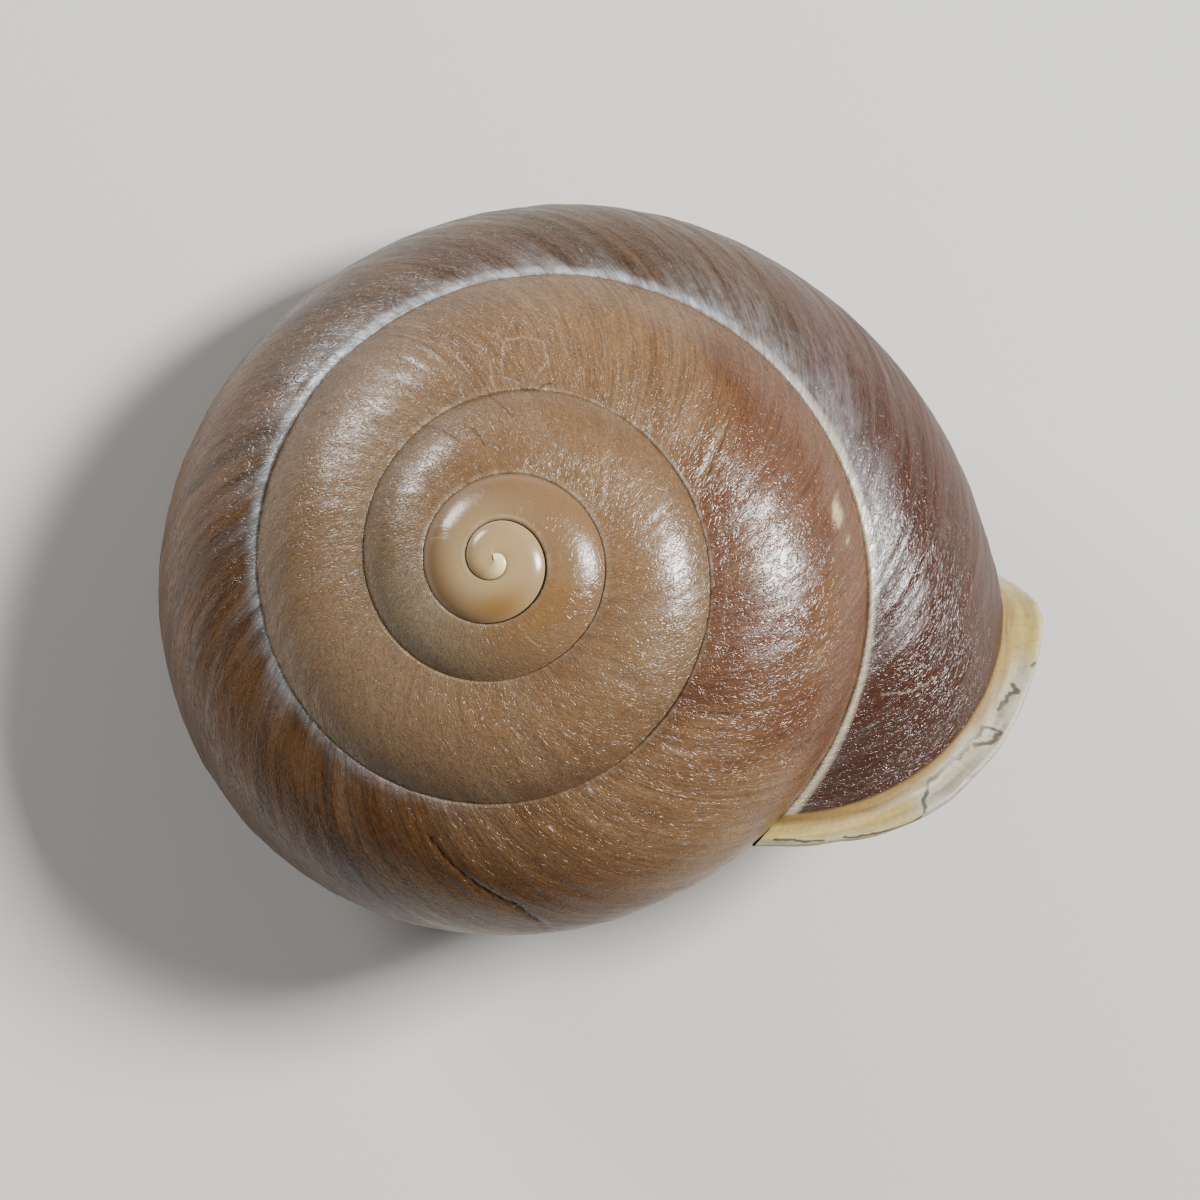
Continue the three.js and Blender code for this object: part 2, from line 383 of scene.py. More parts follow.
        depth = depth * (1 - behind) + seat * behind
        return self.lay(radius, depth, turn)


@dataclass(frozen=True)
class Mark:
    """A scar, crease, crack or fleck on the outer surface.

    Attributes:
        path: Points as (growth line, across).
        width: Half width of the mark.
        depth: How deep it is pressed in; below 0 it stands up.
        tint: Name of the colour it has, or an empty name.
        strength: How far it takes that colour.
        ragged: How much its edges wander.
    """

    path: tuple[tuple[float, float], ...]
    width: float
    depth: float
    tint: str = ""
    strength: float = 0.0
    ragged: float = 0.3


@dataclass
class Fields:
    """Values over the rows and columns of the shell's grid.

    Attributes:
        line: Growth line, named by the turn at which it leaves the suture.
        across: 0 at the suture, 1 at the widest line, 2 at the lowest, 3 in the umbilicus.
        along_mm: Length grown along the widest line.
        across_mm: Distance from the suture.
        lip: Share of the lip's section, 0 on the coil.
        inside: 1 on the wall inside the mouth, otherwise 0.
    """

    line: np.ndarray
    across: np.ndarray
    along_mm: np.ndarray
    across_mm: np.ndarray
    lip: np.ndarray
    inside: np.ndarray


# Turns that the lip's section counts as, so that its fields go on from the coil's
LIP_TURNS = 0.02
# Millimetres between the whorls' layers of grain, so that no two have the same
WHORL_STEP = 3.0

# Marks that the photograph shows, as (growth line, across) on the coil
STOP_SCAR = Mark(((3.594, 0.2), (3.586, 0.43), (3.58, 0.58), (3.588, 0.78), (3.605, 1.0)),
                 0.15, 0.13, "streak", 0.45)
LARGE_SPOT = Mark(((3.303, 0.665), (3.308, 0.68)), 0.36, 0.04, "fleck", 0.75, 0.9)
SMALL_SPOT = Mark(((3.322, 0.71),), 0.2, 0.02, "fleck", 0.8, 0.7)
LEFT_FLECK = Mark(((2.751, 0.45),), 0.12, -0.02, "blush", 0.9, 0.6)
LOW_FLECK = Mark(((3.474, 0.05),), 0.13, -0.02, "blush", 0.9, 0.6)
FOLD_SIDE = Mark(((3.208, 0.29), (3.209, 0.2), (3.214, 0.1)), 0.25, 0.1)
YOUNG_FOLD = Mark(((2.172, 0.28), (2.186, 0.18), (2.2, 0.06)), 0.2, -0.07)
MARKS = (STOP_SCAR, LARGE_SPOT, SMALL_SPOT, LEFT_FLECK, LOW_FLECK, FOLD_SIDE, YOUNG_FOLD)

# Lines that stand up and are worn pale; on the folds and the seam partly painted highlights
PALE_LINES = (
    # Edge of the sunken patch
    ((3.041, 0.03), (3.029, 0.07), (3.035, 0.15), (3.044, 0.24), (3.059, 0.25), (3.07, 0.23),
     (3.069, 0.14), (3.055, 0.06)),
    # Folds beside the patch and across the spire, pale partly as painted highlights on their lit side
    ((3.007, 0.31), (3.007, 0.21), (3.007, 0.12)),
    ((3.027, 0.17), (3.022, 0.1), (3.018, 0.03)),
    ((3.208, 0.31), (3.209, 0.21), (3.213, 0.12)),
    ((2.158, 0.16), (2.173, 0.26), (2.181, 0.35)),
    ((2.164, 0.18), (2.196, 0.04)),
    # Seam that stands up where two whorls meet at the upper right, pale partly as a painted highlight on
    # its raised edge
    ((3.175, 0.006), (3.215, 0.02), (3.26, 0.004)),
    # Creases and scratches
    ((4.34, 0.13), (4.35, 0.26), (4.357, 0.4)),
    ((2.34, 0.09), (2.35, 0.16)),
    ((1.486, 0.23), (1.488, 0.38)),
    ((0.88, 0.52), (0.87, 0.25)),
    ((0.909, 0.58), (0.907, 0.28)),
)
# Lines that are cracked open or creased, with dirt in them, and painted shade beside the sunken patch and
# the fold at the upper right
DARK_LINES = (
    ((3.39, 0.08), (3.388, 0.19), (3.392, 0.3)),
    # Painted shade along the lower edge of the sunken patch
    ((3.067, 0.04), (3.055, 0.01), (3.041, 0.01)),
    # Painted shade beside the fold at the upper right, next to its painted highlight
    ((3.211, 0.27), (3.213, 0.19), (3.217, 0.11)),
    ((2.066, 0.63), (2.066, 0.49), (2.071, 0.37)),
    ((2.025, 0.35), (2.023, 0.2)),
)
# Cracks of the lip, as (share of the lip's section, across)
LIP_CRACKS = (
    ((0.14, 0.405), (0.2, 0.39), (0.26, 0.365), (0.36, 0.35)),
    ((0.14, 0.405), (0.16, 0.52), (0.165, 0.625)),
    ((0.165, 0.625), (0.2, 0.63), (0.28, 0.638)),
    ((0.2, 0.565), (0.29, 0.605), (0.28, 0.638)),
    ((0.2, 0.69), (0.235, 0.73), (0.27, 0.753), (0.24, 0.77)),
    ((0.31, 0.835), (0.335, 0.845)),
    ((0.35, 0.18), (0.39, 0.242), (0.43, 0.305), (0.4, 0.34)),
    ((0.3, 0.03), (0.33, 0.1), (0.35, 0.14)),
)
# Ground colour of the coil by its age, as (growth line, colour)
AGES = (
    (-1.0, "nucleus"), (-0.55, "nucleus"), (-0.25, "young"), (0.6, "young"), (1.3, "spire"),
    (2.3, "spire"), (3.1, "spire"), (3.27, "penultimate"), (3.36, "penultimate"), (3.47, "spire"),
    (3.62, "body_dark"), (3.85, "body_dark"), (4.05, "body_pale"), (4.15, "body_pale"),
    (4.25, "body_red"), (4.37, "body_red"), (4.42, "dusk"),
)
# Section of the lip from the last growth line, as shares of how far it reaches forward and outward
# and of its thickness; the section's last point, on the inner wall, follows from the wall
LIP_SHAPE = (
    (0.0, 0.0, 0.0), (0.28, 0.06, 0.02), (0.6, 0.42, 0.0), (0.84, 0.92, 0.0), (1.0, 1.0, 0.22),
    (1.04, 0.98, 0.62), (0.95, 0.8, 1.0), (0.6, 0.25, 1.15), (0.25, 0.0, 1.1),
)


@dataclass(frozen=True)
class Pigment:
    """Colours of the shell from its youngest whorl to its lip, as sRGB hex."""

    nucleus: str = "#f6e4a4"
    amber: str = "#8c6328"
    young: str = "#a0855f"
    spire: str = "#785c3f"
    penultimate: str = "#5f3d27"
    body_dark: str = "#5e3e1e"
    body_pale: str = "#452f1a"
    body_red: str = "#401e0c"
    dusk: str = "#412b22"
    streak: str = "#2c1d10"
    blush: str = "#b3b7ba"
    cream: str = "#b3a68f"
    fleck: str = "#cdbb8e"
    olive: str = "#5c523a"
    lip_tan: str = "#846a38"
    lip_cream: str = "#b09c58"
    lip_grey: str = "#aca793"
    lip_rim: str = "#7b604c"
    crack: str = "#33271c"
    inner: str = "#a08c78"


@dataclass(frozen=True)
class Patch:
    """A soft patch of colour on the coil.

    Attributes:
        tint: Name of the colour.
        strength: How far it covers at its middle.
        line: Growth line of its middle.
        line_width: Half width along the growth, in turns.
        across: Place of its middle across the whorl.
        across_width: Half width across the whorl.
        in_mm: Whether the last two are millimetres from the suture.
    """

    tint: str
    strength: float
    line: float
    line_width: float
    across: float
    across_width: float
    in_mm: bool = False


# Amber and brown tints round the apex, where the horny skin is thin
APEX_PATCHES = (
    Patch("amber", 0.75, 0.53, 0.09, 0.42, 0.25),
    Patch("amber", 0.4, 1.42, 0.09, 0.7, 0.8, in_mm=True),
    Patch("penultimate", 0.45, 0.82, 0.14, 0.6, 0.35),
    Patch("penultimate", 0.4, 1.05, 0.16, 0.5, 0.35),
)
OLIVE_PATCH = Patch("olive", 0.55, 1.74, 0.14, 0.35, 0.4)


class Coats:
    """Colour of the shell's points, laid on coat by coat."""

    def __init__(self, pigment: Pigment, at: Fields) -> None:
        """Start with the ground colour, which changes with age.

        Args:
            pigment: Colours of the shell.
            at: The fields of the shell.
        """
        self.paint = {name: np.array(linear(value)[:3]) for name, value in vars(pigment).items()}
        ages = [age for age, _ in AGES]
        table = np.array([self.paint[name] for _, name in AGES])
        aged = at.line + 0.1 * Noise(Seed.AGE).rough(at.along_mm / 9, at.across_mm / 7)
        self.colour = np.stack([np.interp(aged, ages, table[:, k]) for k in range(3)], -1)

    def over(self, name: str, cover: np.ndarray) -> None:
        """Lay a colour over the ones before.

        Args:
            name: Name of the colour.
            cover: How far it covers each point, from 0 to 1.
        """
        cover = np.clip(cover, 0, 1)[..., None]
        self.colour = self.colour * (1 - cover) + self.paint[name] * cover

    def patch(self, patch: Patch, at: Fields) -> None:
        """Lay a soft patch over the colours before.

        Args:
            patch: The patch.
            at: The fields of the shell.
        """
        across = at.across_mm if patch.in_mm else at.across
        round_line = patch.strength * bell(at.line, patch.line, patch.line_width)
        self.over(patch.tint, round_line * bell(across, patch.across, patch.across_width))


@dataclass(frozen=True)
class Grid:
    """How finely the shell's surface is divided, in millimetres, columns and turns.

    Attributes:
        row_spacing: Millimetres between rows along the widest line.
        least_reach: Least reach that is counted for them, so that the apex gets enough rows.
        samples: Places at which the length along the growth is worked out.
        crease_columns: Places of the columns in the crease at the suture.
        top_from: Place of the first column beside the crease.
        top_columns: Number of columns from there to the widest line.
        edge_end: Place across where the widest part ends.
        edge_columns: Number of columns over the widest part.
        base_columns: Number of columns from there to the lowest line.
        navel_columns: Number of columns from the lowest line into the umbilicus.
        navel_seen_from: Place across from which the umbilicus can be seen.
        relief_end: Place across where the relief ends.
        hidden_column: Place of the one column beyond the umbilicus.
        lip_rows: Number of rows round the lip's section.
        inner_stride: Rows of the coil for one row of the wall inside the mouth.
        inner_turns: How far that wall runs in, in turns.
        covered_across: Place across beyond which the next whorl hides a whorl.
        full_from: Growth line from which whorls are whole.
        navel_from: Growth line from which the umbilicus is modelled.
    """

    row_spacing: float = 0.23
    least_reach: float = 2.6
    samples: int = 4001
    crease_columns: tuple[float, ...] = (0, 0.004, 0.009, 0.015)
    top_from: float = 0.022
    top_columns: int = 44
    edge_end: float = 1.35
    edge_columns: int = 5
    base_columns: int = 13
    navel_columns: int = 7
    navel_seen_from: float = 1.95
    relief_end: float = 3.2
    hidden_column: float = 3.6
    lip_rows: int = 26
    inner_stride: int = 9
    inner_turns: float = 1.2
    covered_across: float = 0.68
    full_from: float = 2.9
    navel_from: float = 1.5


@dataclass(frozen=True)
class Relief:
    """Heights of the low relief, in millimetres outward.

    Attributes:
        broad: Waves that follow the growth lines.
        fine: Finer waves over them.
        apex: Those finer waves on the young whorls.
        dents: Broad unevenness.
        roll: Roll beside the suture, as a share of the whorl's reach.
        bead: Narrow bead along the suture.
        crease: Depth of the crease at the suture.
        dirty_crease: How much deeper it is on the lower left.
        crease_share: How much deeper it is for each millimetre of the whorl's reach.
        apex_crease: How far it is filled on the first whorl.
    """

    broad: float = 0.026
    fine: float = 0.018
    apex: float = 0.006
    dents: float = 0.05
    roll: float = 0.0025
    bead: float = 0.05
    crease: float = 0.02
    dirty_crease: float = 0.035
    crease_share: float = 0.005
    apex_crease: float = 0.07


@dataclass
class SnailShell:
    """The whole shell: coil, turned-back lip and the wall inside its mouth.

    Attributes:
        growth: The law by which the coil grows.
        grid: How finely the surface is divided.
        heights: Heights of the low relief.
        pigment: Colours.
        lip_step: Steps across the whorl at which the lip's turning is given.
        lip_forward: How far the lip reaches forward at each step.
        lip_outward: How far it turns outward at each step.
        lip_thickness: Thickness of the lip.
        lip_turning: Place across from which the lip stands square to the edge.
        lip_flakes: Height of the lip's flakes.
        lip_ridges: Height of the ridges along the lip.
        lip_wear: How unevenly its edge is worn, as a share.
        wall_share: Thickness of the wall, as a share of the whorl's reach.
        shoulder_arc: Length across the shoulder, as a share of reach times angle.
        base_arc: Length across the base, as a share of the reach.
        marks: Scars, creases and flecks.
    """

    growth: Growth = field(default_factory=Growth)
    grid: Grid = field(default_factory=Grid)
    heights: Relief = field(default_factory=Relief)
    pigment: Pigment = field(default_factory=Pigment)
    lip_step: float = 0.5
    lip_forward: tuple[float, ...] = (2.5, 2.2, 1.45, 1.0, 2.1, 2.2, 1.8)
    lip_outward: tuple[float, ...] = (0.0, 1.2, 2.1, 3.0, 2.4, 1.9, 1.5)
    lip_thickness: float = 1.0
    lip_turning: float = 0.4
    lip_flakes: float = 0.08
    lip_ridges: float = 0.11
    lip_wear: float = 0.05
    wall_share: float = 0.045
    shoulder_arc: float = 0.52
    base_arc: float = 0.6
    marks: tuple[Mark, ...] = MARKS

    def lines(self) -> np.ndarray:
        """Space the growth lines evenly along the widest line.

        Returns:
            The growth line of each row.
        """
        grid = self.grid
        turns = np.linspace(self.growth.first_turn, self.growth.last_turn, grid.samples)
        reach = np.maximum(self.growth.reach(turns), grid.least_reach)
        length = np.concatenate([[0], np.cumsum(2 * math.pi * reach[1:] * np.diff(turns))])
        count = int(length[-1] / grid.row_spacing)
        return np.interp(np.linspace(0, length[-1], count), length, turns)

    def columns(self) -> np.ndarray:
        """Place the columns across the whorl, with one beyond the umbilicus.

        Returns:
            The place across of each column.
        """
        grid = self.grid
        top = np.concatenate([grid.crease_columns, np.linspace(grid.top_from, 1, grid.top_columns)])
        edge = np.linspace(1, grid.edge_end, grid.edge_columns)[1:]
        base = np.linspace(grid.edge_end, 2, grid.base_columns)[1:]
        navel = np.linspace(2, 3, grid.navel_columns)[1:]
        return np.concatenate([top, edge, base, navel, [grid.hidden_column]])

    def along(self, line: np.ndarray) -> np.ndarray:
        """Measure the length grown along the widest line.

        Args:
            line: Growth lines.

        Returns:
            Lengths in millimetres.
        """
        past_lip, steps = 0.2, 2001
        turns = np.linspace(self.growth.first_turn, self.growth.last_turn + past_lip, steps)
        reach = self.growth.reach(turns)
        length = np.concatenate([[0], np.cumsum(2 * math.pi * reach[1:] * np.diff(turns))])
        return np.interp(line, turns, length)

    def girth(self, line: np.ndarray, across: np.ndarray) -> np.ndarray:
        """Measure the distance from the suture across the whorl.

        Args:
            line: Growth lines.
            across: Places across the whorl.

        Returns:
            Distances in millimetres.
        """
        size = self.growth.reach(line)
        top = self.shoulder_arc * size * self.growth.suture_angle(line) * np.minimum(across, 1)
        return top + self.base_arc * size * np.maximum(across - 1, 0)

    @staticmethod
    def normals(points: np.ndarray) -> np.ndarray:
        """Find the outward directions of a surface.

        Args:
            points: Points by row and column.

        Returns:
            Directions of length one.
        """
        rows, columns = np.gradient(points, axis=0), np.gradient(points, axis=1)
        outward = np.cross(rows, columns)
        return outward / np.maximum(np.linalg.norm(outward, axis=-1, keepdims=True), 1e-9)

    def distance(self, mark: Mark, at: Fields) -> np.ndarray:
        """Measure how far every point of the coil lies from a mark.

        Args:
            mark: The mark.
            at: The fields of the shell.

        Returns:
            Distances in millimetres.
        """
        path = np.array(mark.path, float)
        x, y = self.along(path[:, 0]), self.girth(path[:, 0], path[:, 1])
        best = np.full(at.along_mm.shape, 1e3)
        for k in range(max(len(x) - 1, 1)):
            end = min(k + 1, len(x) - 1)
            dx, dy = x[end] - x[k], y[end] - y[k]
            long = max(dx * dx + dy * dy, 1e-9)
            share = np.clip(((at.along_mm - x[k]) * dx + (at.across_mm - y[k]) * dy) / long, 0, 1)
            gap = np.hypot(at.along_mm - x[k] - share * dx, at.across_mm - y[k] - share * dy)
            best = np.minimum(best, gap)
        return best

    def coverage(self, number: int, at: Fields) -> np.ndarray:
        """Find how strongly a mark covers each point.

        Args:
            number: Number of the mark.
            at: The fields of the shell.

        Returns:
            Shares from 0 to 1.
        """
        mark, ragged_mm = self.marks[number], 0.7
        wander = Noise(Seed.MARKS + number).rough(at.along_mm / ragged_mm, at.across_mm / ragged_mm)
        gap = self.distance(mark, at) + mark.ragged * mark.width * wander
        return np.exp(-((np.maximum(gap, 0) / mark.width) ** 2)) * (at.lip <= 0) * (at.inside <= 0)

    def relief(self, at: Fields) -> np.ndarray:
        """Work out the low relief of the coil.

        Args:
            at: The fields of the coil.

        Returns:
            Heights outward from the smooth surface, in millimetres.
        """
        grown, young = smooth(at.line, 1.2, 3.2), smooth(at.line, 0.3, 1.2)
        wave = 0.9 + 0.6 * Noise(Seed.WAVE_STRENGTH).at(at.along_mm / 9, at.across_mm / 5)
        broad = Noise(Seed.BROAD_WAVES).rough(at.along_mm / 1.9, at.across_mm / 9)
        fine = Noise(Seed.FINE_WAVES).rough(at.along_mm / 0.6, at.across_mm / 1.9, 2)
        dents = Noise(Seed.DENTS).rough(at.along_mm / 7, at.across_mm / 6, 2)
        low, near = self.heights, at.across_mm
        height = grown * wave * (low.broad * broad + low.fine * fine) + young * low.apex * fine
        height = height + low.dents * grown * dents
        size = self.growth.reach(at.line)
        roll = young * (low.roll * size * bell(near, 0.5, 0.3) + low.bead * bell(near, 0.16, 0.09))
        deep = low.crease + low.dirty_crease * young * self.low_left(at.line) + low.crease_share * size
        crease = deep * np.exp(-near / 0.07) - low.apex_crease * (1 - young) * np.exp(-near / 0.12)
        height = height + roll - crease
        for number, mark in enumerate(self.marks):
            height = height - mark.depth * self.coverage(number, at)
        return height

    def lip_section(self, shares: np.ndarray, across: np.ndarray) -> tuple[np.ndarray, np.ndarray]:
        """Follow the lip's section from the last growth line over the edge to the inner wall.

        Args:
            shares: How far along the section, from 0 to 1, one value a row.
            across: Place across the whorl, one value a column.

        Returns:
            Distances forward and outward from the last growth line.
        """
        forward = curve_through(self.lip_forward, np.minimum(across, 3) / self.lip_step)
        outward = curve_through(self.lip_outward, np.minimum(across, 3) / self.lip_step)
        wall = self.wall_share * self.growth.reach(self.growth.last_turn) / self.lip_thickness
        shape = (*LIP_SHAPE, (0.0, 0.0, wall))
        place = shares * (len(shape) - 1)
        ahead, out, deep = (curve_through(tuple(s[k] for s in shape), place) for k in range(3))
        ahead, out, deep = ahead[:, None], out[:, None], deep[:, None] * self.lip_thickness
        return ahead * forward, out * outward - deep

    def points(self) -> tuple[np.ndarray, Fields]:
        """Work out every point of the shell and the fields over them.

        Returns:
            Points by row and column, and the fields.
        """
        growth, grid = self.growth, self.grid
        lines, across = self.lines(), self.columns()
        line, over = np.meshgrid(lines, across, indexing="ij")
        smooth_coil = growth.surface(line, over)
        outward = self.normals(smooth_coil)
        coil = self.fields(line, over)
        height = self.relief(coil) * (over < grid.relief_end)
        outer = smooth_coil + outward * height[..., None]
        lip, lip_fields = self.lip(outer, smooth_coil, outward, lines, across)
        first = growth.last_turn - grid.inner_turns
        back = np.arange(len(lines) - grid.inner_stride, 0, -grid.inner_stride)
        back = back[lines[back] > first]
        wall = self.wall_share * growth.reach(line[back] - growth.trail(line[back], over[back]))
        inner = smooth_coil[back] - outward[back] * wall[..., None]
        inner_fields = self.fields(line[back], over[back])
        inner_fields.inside[:] = 1
        parts = (coil, lip_fields, inner_fields)
        names = ("line", "across", "along_mm", "across_mm", "lip", "inside")
        joined = Fields(**{n: np.concatenate([getattr(p, n) for p in parts]) for n in names})
        placed = np.concatenate([outer, lip, inner])
        placed[..., 2] = np.maximum(placed[..., 2], 0.0)
        return placed, joined

    def fields(self, line: np.ndarray, across: np.ndarray) -> Fields:
        """Gather the fields of some rows of the coil.

        Args:
            line: Growth lines.
            across: Places across the whorl.

        Returns:
            The fields, with nothing on the lip or inside.
        """
        none = np.zeros(line.shape)
        return Fields(line, across, self.along(line), self.girth(line, across), none, none.copy())

    def lip(
        self, outer: np.ndarray, smooth_coil: np.ndarray, outward: np.ndarray,
        lines: np.ndarray, across: np.ndarray,
    ) -> tuple[np.ndarray, Fields]:
        """Work out the turned-back lip.

        Args:
            outer: Points of the coil with its relief.
            smooth_coil: Points of the coil without it.
            outward: Outward directions of the coil.
            lines: Growth lines of the rows; not used.
            across: Places of the columns.

        Returns:
            The lip's points and their fields.
        """
        shares = np.linspace(0, 1, self.grid.lip_rows + 1)[1:]
        ahead, out = self.lip_section(shares, across)
        edge = smooth_coil[-1]
        along = edge - smooth_coil[-2]
        along = along / np.linalg.norm(along, axis=-1, keepdims=True)
        over = np.gradient(edge, axis=0)
        over = over / np.linalg.norm(over, axis=-1, keepdims=True)
        square = np.cross(over, outward[-1])
        turned = smooth(across, 0, self.lip_turning)[:, None]
        forward = square * turned + along * (1 - turned)
        x = self.girth(np.full(across.shape, self.growth.last_turn), across)
        flakes = Noise(Seed.LIP_FLAKES).rough(x[None, :] / 1.4, shares[:, None] * 9, 3)
        ridges = Noise(Seed.LIP_RIDGES).rough(x[None, :] / 5.0, shares[:, None] * 16, 2)
        outer_side = smooth(shares, 0.02, 0.2) * smooth(shares, 0.7, 0.5)
        out = out + outer_side[:, None] * (self.lip_flakes * flakes + self.lip_ridges * ridges)
        ahead = ahead * (1 + self.lip_wear * Noise(Seed.LIP_WEAR).rough(x / 2.2))
        begin = (outer[-1] - edge)[None] * (1 - smooth(shares, 0, 0.15))[:, None, None]
        points = edge + forward * ahead[..., None] + outward[-1] * out[..., None] + begin
        line = np.broadcast_to(self.growth.last_turn + LIP_TURNS * shares[:, None], ahead.shape).copy()
        at = self.fields(line, np.broadcast_to(across, ahead.shape).copy())
        at.across_mm = np.broadcast_to(x, ahead.shape).copy()
        at.lip[:] = shares[:, None]
        return points, at

    def faces(self, at: Fields) -> np.ndarray:
        """Choose the quads of the grid that can be seen from anywhere.

        Args:
            at: The fields of the shell.

        Returns:
            Corner numbers, four a face.
        """
        rows, columns = at.line.shape
        number = np.arange(rows * columns).reshape(rows, columns)
        corners = np.stack([number[:-1, :-1], number[1:, :-1], number[1:, 1:], number[:-1, 1:]], -1)
        line, across = at.line[:-1, :-1], at.across[:-1, :-1]
        shown = (across < self.grid.covered_across) | (line > self.grid.full_from)
        shown |= (across > self.grid.navel_seen_from) & (line > self.grid.navel_from)
        return corners[shown]

    def colours(self, at: Fields) -> np.ndarray:
        """Work out the pigment at every point.

        Args:
            at: The fields of the shell.

        Returns:
            Linear red, green and blue.
        """
        coats = Coats(self.pigment, at)
        outer = (at.lip <= 0) & (at.inside <= 0)
        self.grown_colours(at, coats)
        self.apex_colours(at, coats, outer)
        self.bloom(at, coats, outer)
        self.suture_colours(at, coats, outer)
        for number, mark in enumerate(self.marks):
            if mark.tint:
                coats.over(mark.tint, mark.strength * self.coverage(number, at))
        self.lip_colours(at, coats)
        return coats.colour

    @staticmethod
    def grown_colours(at: Fields, coats: Coats) -> None:
        """Lay the dark streaks of the body whorl, painted shade on the outer edges of the spire's whorls
        and the reddish mottling.

        Args:
            at: The fields of the shell.
            coats: Colour laid so far.
        """
        streaks = Noise(Seed.STREAKS).rough(at.along_mm / 1.1, at.across_mm / 10)
        patches = Noise(Seed.STREAK_PATCHES).rough(at.along_mm / 6, at.across_mm / 5)
        streaks = smooth(streaks + 0.5 * patches, 0.1, 1.1)
        dark_side = smooth(at.line, 3.46, 3.66) * (1 - 0.55 * smooth(at.line, 3.85, 4.1))
        coats.over("streak", 0.55 * streaks * dark_side)
        fine = Noise(Seed.FINE_STREAKS).rough(at.along_mm / 0.55, at.across_mm / 9)
        coats.over("streak", 0.5 * smooth(fine, 0.2, 1.0) * dark_side)
        # Painted shade: darker towards the outer part of each spire whorl, where it turns down to the next
        # suture
        spire = smooth(at.line, 1.6, 2.2) * smooth(at.line, 3.4, 3.1)
        coats.over("body_pale", 0.3 * smooth(at.across, 0.3, 0.62) * spire)
        mottling = Noise(Seed.MOTTLING).rough(at.along_mm / 3.5, at.across_mm / 3.5)
        coats.over("body_red", 0.3 * smooth(mottling, 0, 1.2) * smooth(at.line, 1.5, 2.5))

    @staticmethod
    def apex_colours(at: Fields, coats: Coats, outer: np.ndarray) -> None:
        """Lay the tints of the young whorls and the dusk before the lip.

        Args:
            at: The fields of the shell.
            coats: Colour laid so far.
            outer: Where the coil's outer surface is.
        """
        coats.patch(OLIVE_PATCH, at)
        coats.over("nucleus", 0.08 * outer * smooth(at.across, 0.45, 0.1) * smooth(at.line, 1.3, 0.8))
        for patch in APEX_PATCHES:
            coats.patch(patch, at)
        coats.over("dusk", 0.8 * smooth(at.line, 4.335, 4.39))

    @staticmethod
    def bloom(at: Fields, coats: Coats, outer: np.ndarray) -> None:
        """Lay the bluish-white band beside the last suture, partly a painted sheen, the pale haze of the
        spire and a painted sheen on the left of each whorl.

        Args:
            at: The fields of the shell.
            coats: Colour laid so far.
            outer: Where the coil's outer surface is.
        """
        speckle = Noise(Seed.SPECKLE).rough(at.along_mm / 0.5, at.across_mm / 0.35, 2)
        # Bluish-white band beside the last suture: partly the shell's own pale band and partly a painted
        # sheen, which reaches farthest round line 4.21
        late = smooth(at.line, 3.5, 3.8) * (1 - 0.75 * smooth(at.line, 4.25, 4.32))
        wander = Noise(Seed.BLUSH_REACH).rough(at.along_mm / 1.6, 0.0)
        reach_mm = 0.7 + 1.9 * bell(at.line, 4.21, 0.06) + 0.6 * wander
        smear = np.exp(-np.maximum(at.across_mm, 0) / np.maximum(reach_mm, 0.25))
        near = smooth(at.across_mm, 0.75, 0.25)
        cover = np.clip(0.35 * smear + 0.36 * near, 0, 1) * (1 + 0.55 * speckle)
        coats.over("blush", outer * late * cover)
        haze = Noise(Seed.HAZE).rough(at.along_mm / 2.4, at.across_mm / 6)
        haze = 0.04 * smooth(haze, -0.2, 0.8) * smooth(at.line, 3.25, 3.15)
        # Painted sheen on the left of each whorl of the spire, in the cream colour, added to the pale haze
        left = bell(at.line % 1.0, 0.7, 0.12) * (0.2 - 0.1 * smooth(at.line, 2.0, 2.5))
        middle = smooth(at.line, 1.2, 1.6) * (1 - smooth(at.line, 3.4, 3.6))
        coats.over("cream", outer * middle * (haze + left))

    @classmethod
    def suture_colours(cls, at: Fields, coats: Coats, outer: np.ndarray) -> None:
        """Lay the cream cord and rim along the suture, the rim partly a painted highlight, and painted
        shade in the suture's crease.

        Args:
            at: The fields of the shell.
            coats: Colour laid so far.
            outer: Where the coil's outer surface is.
        """
        cord = smooth(at.across_mm, 0.62, 0.42) * smooth(at.line, 4.12, 4.25)
        coats.over("cream", outer * cord)
        side = cls.low_left(at.line)
        spire = smooth(at.line, 0.3, 1.0) * (1 - smooth(at.line, 3.6, 3.8))
        # Pale rim along the suture: partly the shell's pale edge, partly a painted highlight where the
        # raised edge catches the light, weaker on the lower left
        rim = bell(at.across_mm, 0.14, 0.08) * spire
        rim = rim * (0.6 + 0.5 * Noise(Seed.RIM).rough(at.along_mm / 1.1))
        coats.over("cream", outer * 0.5 * rim * (1 - 0.7 * side))
        # Painted shade in the suture's crease, faint at the top and right and strongest on the lower left
        shade = smooth(at.across_mm, 0.13, 0.03) * (1 - smooth(at.line, 3.75, 3.95))
        coats.over("streak", outer * shade * (0.12 + 0.78 * side * smooth(at.line, 0.5, 1.3)))

    @staticmethod
    def low_left(line: np.ndarray) -> np.ndarray:
        """Return how far a growth line lies on the lower left, where the sutures are dark."""
        return bell((line - 0.6 + 0.5) % 1.0 - 0.5, 0.0, 0.24)

